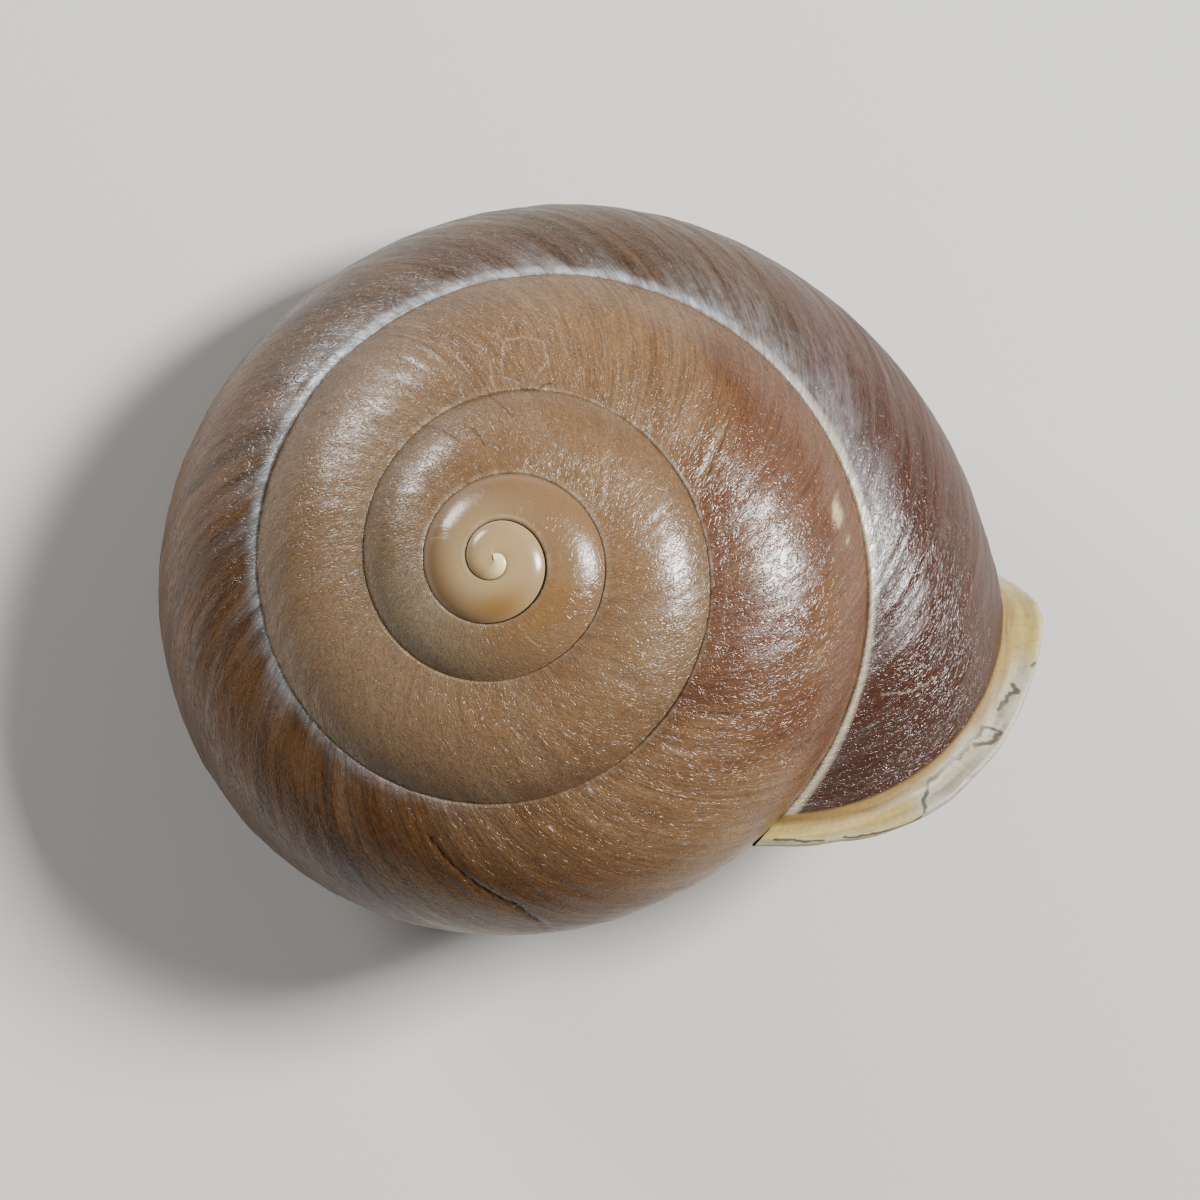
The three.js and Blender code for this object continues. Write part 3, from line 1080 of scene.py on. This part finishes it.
    @staticmethod
    def lip_colours(at: Fields, coats: Coats) -> None:
        """Lay the lip's bands and the pale inner wall over the coil's pigment.

        Args:
            at: The fields of the shell.
            coats: Colour laid so far.
        """
        across, share = at.across_mm, at.lip
        wander = Noise(Seed.LIP_BANDS).rough(across / 2.5, share * 4)
        place = share + 0.018 * wander
        before_edge, on_edge = smooth(place, 0.6, 0.5), smooth(place, 0.62, 0.5)
        coats.over("lip_tan", smooth(place, 0.0, 0.03) * (share > 0))
        coats.over("lip_cream", smooth(place, 0.12, 0.22) * (0.85 + 0.2 * wander))
        lined = Noise(Seed.LIP_LINES).rough(across / 4.5, share * 34, 2)
        coats.over("lip_tan", 0.55 * smooth(lined, 0.25, 0.9) * smooth(place, 0.06, 0.14) * before_edge)
        flaky = Noise(Seed.LIP_FLAKING).rough(across / 2.2, share * 16)
        flaked = smooth(across, 5.4, 6.3) * smooth(across, 15.5, 13.0)
        coats.over("lip_grey", flaked * smooth(place + 0.03 * flaky, 0.17, 0.22) * on_edge)
        coats.over("lip_grey", 0.6 * smooth(at.across + 0.1 * flaky, 1.15, 1.3) * smooth(place, 0.1, 0.2))
        coats.over("lip_grey", 0.7 * smooth(place + 0.05 * flaky, 0.3, 0.38) * on_edge)
        stains = Noise(Seed.LIP_STAINS).rough(across / 1.8, share * 26)
        stained = 0.45 * flaked * smooth(stains, 0.35, 1.1)
        coats.over("lip_rim", stained * smooth(place, 0.14, 0.2) * before_edge)
        coats.over("lip_rim", smooth(place + 0.02 * flaky, 0.42, 0.5) * smooth(at.across, 0.8, 0.3))
        cracks = np.abs(Noise(Seed.LIP_CRAZING).rough(across / 3.1, share * 22, 2))
        crazed = 0.5 * flaked * smooth(cracks, 0.06, 0.02)
        coats.over("crack", crazed * smooth(place, 0.18, 0.24) * before_edge)
        coats.over("inner", smooth(place, 0.8, 0.97))
        coats.over("inner", at.inside)

    @staticmethod
    def gloss(at: Fields) -> np.ndarray:
        """Work out the roughness: glossy at the apex, satin on the coil, dull on the lip.

        Args:
            at: The fields of the shell.

        Returns:
            Roughness from 0 to 1.
        """
        rough = 0.2 + 0.045 * smooth(at.line, 0.4, 2.2)
        rough = rough + 0.05 * Noise(Seed.GLOSS).rough(at.along_mm / 2, at.across_mm / 2)
        rough = rough + 0.2 * smooth(at.across, 0.5, 1.0) * smooth(at.line, 3.4, 3.8)
        rough = np.where(at.lip > 0, 0.45 + 0.15 * smooth(at.lip, 0.2, 0.35), rough)
        return np.where(at.inside > 0, 0.35, rough)

    def build(self) -> bpy.types.Object:
        """Make the mesh, its fields, its map and its finish.

        Returns:
            The shell's object.
        """
        points, at = self.points()
        corners = self.faces(at)
        used, index = np.unique(corners, return_inverse=True)
        corners = index.reshape(corners.shape)
        mesh = bpy.data.meshes.new("snail_shell")
        mesh.vertices.add(len(used))
        mesh.vertices.foreach_set("co", (points.reshape(-1, 3)[used] * MM).ravel())
        mesh.loops.add(corners.size)
        mesh.loops.foreach_set("vertex_index", corners.ravel())
        mesh.polygons.add(len(corners))
        mesh.polygons.foreach_set("loop_start", np.arange(len(corners)) * 4)
        mesh.update(calc_edges=True)
        mesh.shade_smooth()
        self.store(mesh, "pigment", self.colours(at), used)
        fibre = np.stack([at.along_mm, at.across_mm, WHORL_STEP * np.floor(at.line)], -1)
        self.store(mesh, "grain_mm", fibre, used)
        coarse = smooth(at.line, 0.6, 2.0) * (1 - 0.7 * at.inside) * (at.lip <= 0)
        masks = np.stack([self.gloss(at), coarse, smooth(at.lip, 0.0, 0.05)], -1)
        self.store(mesh, "skin", masks, used)
        self.lay_out(mesh, at, used, corners)
        shell = bpy.data.objects.new("snail_shell", mesh)
        bpy.context.scene.collection.objects.link(shell)
        mesh.materials.append(PeriostracumSatin().material(*self.hair_lines()))
        return shell

    def hair_lines(self) -> tuple[list[np.ndarray], list[np.ndarray]]:
        """Place the lines that are finer than the mesh.

        Returns:
            The pale and the dark lines, each as points in millimetres along and across the growth.
        """
        last = self.growth.last_turn

        def placed(path: tuple[tuple[float, float], ...], on_lip: bool) -> np.ndarray:
            """Turn a line's points to millimetres.

            Args:
                path: Points as (growth line, across), or on the lip as (share, across).
                on_lip: Whether the line is on the lip.

            Returns:
                Points along and across the growth, and which whorl they are on.
            """
            first, across = np.array(path, float).T
            line = last + LIP_TURNS * first if on_lip else first
            start = np.full(first.shape, last) if on_lip else first
            whorl = WHORL_STEP * np.floor(line)
            return np.stack([self.along(line), self.girth(start, across), whorl], -1)

        pale = [placed(path, False) for path in PALE_LINES]
        dark = [placed(path, False) for path in DARK_LINES] + [placed(path, True) for path in LIP_CRACKS]
        return pale, dark

    @staticmethod
    def store(mesh: bpy.types.Mesh, name: str, values: np.ndarray, used: np.ndarray) -> None:
        """Store a vector field on the mesh's points.

        Args:
            mesh: The shell's mesh.
            name: Name of the field.
            values: The field by row and column.
            used: Numbers of the points that the mesh has.
        """
        attribute = mesh.attributes.new(name, "FLOAT_VECTOR", "POINT")
        attribute.data.foreach_set("vector", values.reshape(-1, 3)[used].astype(np.float32).ravel())

    def lay_out(self, mesh: bpy.types.Mesh, at: Fields, used: np.ndarray, corners: np.ndarray) -> None:
        """Unroll the coil into strips that fill the map without overlap.

        Args:
            mesh: The shell's mesh.
            at: The fields of the shell.
            used: Numbers of the points that the mesh has.
            corners: Corner numbers, four a face.
        """
        rows, columns = at.line.shape
        strips, margin = 4, 0.02
        row, column = used // columns, used % columns
        length = np.arange(rows) / rows * strips
        first = row[corners].min(axis=1)
        strip = np.minimum(np.floor(length[first]), strips - 1)
        u = length[row[corners]] - strip[:, None]
        v = (strip[:, None] + margin + (1 - 2 * margin) * column[corners] / columns) / strips
        layer = mesh.uv_layers.new(name="OFBake")
        u = u * (1 - margin) + margin / 2
        layer.data.foreach_set("uv", np.stack([u, v], -1).astype(np.float32).ravel())


def node(
    tree: bpy.types.NodeTree, kind: str, links: dict | None = None, **settings: object,
) -> bpy.types.Node:
    """Add a node to a shader.

    Args:
        tree: Tree that the node joins.
        kind: Blender's name of the node type, without the ShaderNode before it.
        links: Input name or number to a value, to an output socket to link from, or to a node
            whose first output is meant.
        **settings: Properties of the node itself.

    Returns:
        The new node.
    """
    made = tree.nodes.new("ShaderNode" + kind)
    for name, value in settings.items():
        setattr(made, name, value)
    for name, value in (links or {}).items():
        if isinstance(value, bpy.types.Node):
            value = value.outputs[0]
        if isinstance(value, bpy.types.NodeSocket):
            tree.links.new(value, made.inputs[name])
        else:
            made.inputs[name].default_value = value
    return made


@dataclass(frozen=True)
class PeriostracumSatin:
    """Thin horny skin over shell lime, grown in fine lines and worn by handling.

    It gives the eye a satin sheen that breaks up into short crossing wrinkles where the light falls
    on it, with pale worn specks and fine lines that run with the growth of the shell.
    The real grain of about 0.1 mm is drawn at 0.2 mm, so that it shows.

    Attributes:
        ior: Refractive index of the horny skin.
        wrinkle_mm: Size of the wrinkles along and across the growth.
        wrinkle_share: How wide a wrinkle is, as a share of the noise's range.
        thread_mm: Size of the growth threads.
        thread_share: How much of the relief they make on the coil.
        thread_tone: How far they darken and lighten the colour.
        speck_mm: Size of the worn specks.
        grain_mm: Size of the finest grain.
        grain_tone: Range of its tones.
        grain_share: How much of the relief it makes.
        creased_tone: Tone of the painted shade at the bottom of a wrinkle.
        relief_mm: Height of all this relief.
        line_mm: Width of the lines that are finer than the mesh.
        ragged_mm: How far those lines wander.
        shake_mm: Size of that wandering.
        worn_colour: Colour of the lines that are worn pale, and of the painted highlights on folds and the
            seam.
        dirt_colour: Colour of the lines with dirt in them, and of the painted shade beside the patch and a
            fold.
    """

    ior: float = 1.52
    wrinkle_mm: tuple[float, float] = (0.5, 0.62)
    wrinkle_share: float = 0.1
    thread_mm: tuple[float, float] = (0.26, 4.5)
    thread_share: float = 0.15
    thread_tone: float = 0.24
    speck_mm: tuple[float, float] = (0.3, 0.42)
    grain_mm: tuple[float, float] = (0.2, 0.2)
    grain_tone: tuple[float, float] = (0.88, 1.12)
    grain_share: float = 0.35
    creased_tone: float = 0.8
    relief_mm: float = 0.012
    line_mm: float = 0.1
    ragged_mm: float = 0.16
    shake_mm: tuple[float, float] = (0.5, 0.5)
    worn_colour: str = "#a8987e"
    dirt_colour: str = "#2b1f15"

    @staticmethod
    def cells(
        add: Callable[..., bpy.types.Node], grain: bpy.types.NodeSocket, size: tuple[float, float],
        detail: float, twist: float,
    ) -> bpy.types.Node:
        """Draw noise whose cells have a size in millimetres.

        Args:
            add: Function that adds a node to the material.
            grain: Place on the shell in millimetres along and across the growth.
            size: Size of the cells along and across the growth.
            detail: How many finer octaves it has.
            twist: How far it is distorted.

        Returns:
            The noise.
        """
        scale = (1 / size[0], 1 / size[1], 1.0)
        place = add("VectorMath", {0: grain, 1: scale}, operation="MULTIPLY")
        return add("TexNoise", {"Vector": place, "Scale": 1.0, "Detail": detail, "Roughness": 0.6,
                                "Distortion": twist})

    def drawn(
        self, add: Callable[..., bpy.types.Node], paths: list[np.ndarray], place: bpy.types.Node,
    ) -> bpy.types.Node:
        """Draw lines, with 1 on them and 0 beside them.

        Args:
            add: Function that adds a node to the material.
            paths: The lines, as points in millimetres.
            place: Place on the shell in millimetres.

        Returns:
            The lines' cover.
        """
        nearest = None
        for path in paths:
            for start, end in zip(path[:-1], path[1:]):
                step = end - start
                offset = add("VectorMath", {0: place, 1: start}, operation="SUBTRACT")
                share = add("VectorMath", {0: offset, 1: step / step.dot(step)}, operation="DOT_PRODUCT")
                kept = add("Clamp", {"Value": share.outputs[1]})
                foot = add("VectorMath", {0: step, "Scale": kept}, operation="SCALE")
                gap = add("VectorMath", {0: offset, 1: foot}, operation="DISTANCE").outputs[1]
                nearest = gap if nearest is None else add("Math", {0: nearest, 1: gap}, operation="MINIMUM")
        return add("MapRange", {0: nearest, 1: 0.3 * self.line_mm, 2: self.line_mm, 3: 1.0, 4: 0.0},
                   interpolation_type="SMOOTHSTEP")

    def material(self, pale: list[np.ndarray], dark: list[np.ndarray]) -> bpy.types.Material:
        """Make the shell's material.

        Args:
            pale: Lines that stand up and are worn pale, partly painted highlights on folds and the seam, as
                points in millimetres.
            dark: Lines that are cracked open, and painted shade beside the patch and a fold, in the same
                form.

        Returns:
            The material.
        """
        made = bpy.data.materials.new("horny_skin_over_shell_lime")
        made.use_nodes = True
        tree = made.node_tree
        tree.nodes.clear()
        add = partial(node, tree)
        eased = {"interpolation_type": "SMOOTHSTEP"}
        times, plus, minus = ({"operation": name} for name in ("MULTIPLY", "ADD", "SUBTRACT"))
        pigment = add("Attribute", attribute_name="pigment").outputs["Vector"]
        grain = add("Attribute", attribute_name="grain_mm").outputs["Vector"]
        skin = add("Attribute", attribute_name="skin").outputs["Vector"]
        gloss, coarse, on_lip = add("SeparateXYZ", {0: skin}).outputs

        # Ragged lines that are finer than the mesh
        shaken = self.cells(add, grain, self.shake_mm, 2.0, 0.0).outputs[1]
        shaken = add("VectorMath", {0: shaken, 1: (0.5, 0.5, 0.5)}, **minus)
        wander = (self.ragged_mm * 2, self.ragged_mm * 2, 0.0)
        shaken = add("VectorMath", {0: shaken, 1: wander}, **times)
        place = add("VectorMath", {0: grain, 1: shaken}, **plus)
        worn_and_lit_lines, dirty_and_shaded_lines = self.drawn(add, pale, place), self.drawn(add, dark, place)

        # Wrinkles run where the winding noise crosses its middle
        winding = self.cells(add, grain, self.wrinkle_mm, 1.5, 1.3)
        apart = add("Math", {0: winding, 1: 0.5}, **minus)
        apart = add("Math", {0: apart, 1: 0.0}, operation="ABSOLUTE")
        wrinkles = add("MapRange", {0: apart, 1: 0.0, 2: self.wrinkle_share, 3: 0.0, 4: 1.0}, **eased)
        threads = self.cells(add, grain, self.thread_mm, 3.0, 0.7)
        grains = self.cells(add, grain, self.grain_mm, 2.0, 0.3)
        specks = self.cells(add, grain, self.speck_mm, 3.0, 0.8)

        # Tone of the threads, stronger on the later whorls, and of the grain
        whorl = add("SeparateXYZ", {0: grain}).outputs[2]
        lined = add("MapRange", {0: threads, 1: 0.3, 2: 0.7, 3: -self.thread_tone, 4: self.thread_tone},
                    **eased)
        older = add("MapRange", {0: whorl, 1: 2 * WHORL_STEP, 2: 9.5, 3: 0.12, 4: 1.0}, **eased)
        lined = add("Math", {0: lined, 1: older}, **times)
        tone = add("Math", {0: lined, 1: 1.0}, **plus)
        grain_low, grain_high = self.grain_tone
        grained = add("MapRange", {0: grains, 1: 0.25, 2: 0.75, 3: grain_low, 4: grain_high}, **eased)
        tone = add("Math", {0: tone, 1: grained}, **times)
        textured = add("Math", {0: coarse, 1: on_lip}, **plus)
        tone = add("Math", {0: tone, 1: 1.0}, **minus)
        tone = add("Math", {0: tone, 1: textured}, **times)
        tone = add("Math", {0: tone, 1: 1.0}, **plus)

        # Painted shade at the bottom of the wrinkles, and pale worn specks
        crease_shade = add("Math", {0: wrinkles, 1: 1.0}, **minus)
        crease_shade = add("Math", {0: crease_shade, 1: coarse}, **times)
        crease_shade = add("MapRange", {0: crease_shade, 1: -1.0, 2: 0.0, 3: self.creased_tone, 4: 1.0}, **eased)
        tone = add("Math", {0: tone, 1: crease_shade}, **times)
        worn = add("MapRange", {0: specks, 1: 0.6, 2: 0.74, 3: 0.0, 4: 0.4}, **eased)
        worn = add("Math", {0: worn, 1: coarse}, **times)
        worn = add("Math", {0: worn, 1: 1.0}, **plus)
        tone = add("Math", {0: tone, 1: worn}, **times)
        colour = add("VectorMath", {0: pigment, "Scale": tone}, operation="SCALE")

        # Pale lines are worn pale, and on the folds and the seam partly painted highlights; dark lines hold
        # dirt, and beside the patch and a fold they are painted shade; both are patchy
        patchy = add("MapRange", {0: specks, 1: 0.35, 2: 0.6, 3: 0.08, 4: 0.42}, **eased)
        cover = add("Math", {0: worn_and_lit_lines, 1: patchy}, **times)
        worn_colour, dirt_colour = linear(self.worn_colour)[:3], linear(self.dirt_colour)[:3]
        colour = add("Mix", {0: cover, 4: colour, 5: worn_colour}, data_type="VECTOR").outputs[1]
        dirt_and_shade = add("MapRange", {0: on_lip, 1: 0.0, 2: 1.0, 3: 0.55, 4: 0.8}, **eased)
        cover = add("Math", {0: dirty_and_shaded_lines, 1: dirt_and_shade}, **times)
        colour = add("Mix", {0: cover, 4: colour, 5: dirt_colour}, data_type="VECTOR").outputs[1]

        # Relief that catches the light
        streaming = add("Math", {0: coarse, 1: self.thread_share}, **times)
        streaming = add("Math", {0: streaming, 1: on_lip}, **plus)
        streaming = add("Math", {0: threads, 1: streaming}, **times)
        height = add("Math", {0: wrinkles, 1: coarse}, **times)
        height = add("Math", {0: height, 1: streaming}, **plus)
        fine = add("Math", {0: grains, 1: self.grain_share}, **times)
        height = add("Math", {0: height, 1: fine}, **plus)
        bump = add("Bump", {"Height": height, "Strength": 1.0, "Distance": self.relief_mm * MM})
        shader = add("BsdfPrincipled", {"Base Color": colour, "Roughness": gloss, "IOR": self.ior,
                                        "Normal": bump})
        add("OutputMaterial", {"Surface": shader})
        return made


@dataclass(frozen=True)
class MatteCard:
    """Uncoated pale card, which scatters the light evenly and shows no gloss."""

    colour: str = "#d9d6d0"
    roughness: float = 0.8

    def material(self) -> bpy.types.Material:
        """Make the floor's material.

        Returns:
            The material.
        """
        made = bpy.data.materials.new("matte_card")
        made.use_nodes = True
        shader = made.node_tree.nodes["Principled BSDF"]
        shader.inputs["Base Color"].default_value = linear(self.colour)
        shader.inputs["Roughness"].default_value = self.roughness
        return made


@dataclass(frozen=True)
class SoftLight:
    """A square soft light that faces the shell.

    Attributes:
        name: Name of the light.
        azimuth: Degrees from +X towards +Y.
        height: Degrees above the floor.
        side: Side of the light in metres.
        power: Power in watts.
        away: Metres from the shell.
    """

    name: str
    azimuth: float
    height: float
    side: float
    power: float
    away: float = 0.6

    def hang(self) -> None:
        """Hang the light."""
        lamp = bpy.data.lights.new(self.name, "AREA")
        lamp.size = self.side
        lamp.energy = self.power
        hung = bpy.data.objects.new(self.name, lamp)
        az, el = math.radians(self.azimuth), math.radians(self.height)
        towards = Vector((math.cos(az) * math.cos(el), math.sin(az) * math.cos(el), math.sin(el)))
        hung.location = towards * self.away
        hung.rotation_euler = towards.to_track_quat("Z", "Y").to_euler()
        bpy.context.scene.collection.objects.link(hung)


@dataclass(frozen=True)
class Studio:
    """Pale floor, soft lights and a camera straight above.

    The floor and the nearest clip are in metres, the camera's place and lens in millimetres.
    """

    floor_size: float = 3.0
    camera_place: tuple[float, float, float] = (-0.06, -1.82, 800.0)
    focal_length: float = 418.0
    sensor: float = 36.0
    clip_start: float = 0.01
    world_colour: str = "#e6e9ee"
    world_strength: float = 0.15
    lights: tuple[SoftLight, ...] = (
        SoftLight("window_light", azimuth=20, height=44, side=0.15, power=8.0),
        SoftLight("low_light", azimuth=136, height=18, side=0.18, power=2.9),
    )

    def floor(self) -> bpy.types.Object:
        """Lay the floor.

        Returns:
            The floor's object.
        """
        half = self.floor_size / 2
        mesh = bpy.data.meshes.new("floor")
        mesh.from_pydata([(-half, -half, 0), (half, -half, 0), (half, half, 0), (-half, half, 0)],
                         [], [(0, 1, 2, 3)])
        mesh.materials.append(MatteCard().material())
        floor = bpy.data.objects.new("floor", mesh)
        bpy.context.scene.collection.objects.link(floor)
        return floor

    def world(self) -> None:
        """Fill the room with weak even light."""
        world = bpy.data.worlds.new("soft_room")
        world.use_nodes = True
        back = world.node_tree.nodes["Background"]
        back.inputs["Color"].default_value = linear(self.world_colour)
        back.inputs["Strength"].default_value = self.world_strength
        bpy.context.scene.world = world

    def camera(self) -> None:
        """Set the camera above the shell, looking straight down."""
        lens = bpy.data.cameras.new("camera")
        lens.lens = self.focal_length
        lens.sensor_width = self.sensor
        lens.clip_start = self.clip_start
        held = bpy.data.objects.new("camera", lens)
        held.location = Vector(self.camera_place) * MM
        bpy.context.scene.collection.objects.link(held)
        bpy.context.scene.camera = held

    def build(self) -> bpy.types.Object:
        """Set up the whole studio.

        Returns:
            The floor.
        """
        floor = self.floor()
        for light in self.lights:
            light.hang()
        self.world()
        self.camera()
        return floor


def main() -> None:
    """Build the shell and its studio and tie the shell to the solid."""
    logging.basicConfig(level=logging.INFO)
    shell = SnailShell().build()
    LOG.info("%s: %d triangles", shell.name, 2 * len(shell.data.polygons))
    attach(shell, "root")
    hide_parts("shell")
    floor = Studio().build()
    LOG.info("%s: laid, with the lights and the camera above it", floor.name)


if __name__ == "__main__":
    main()
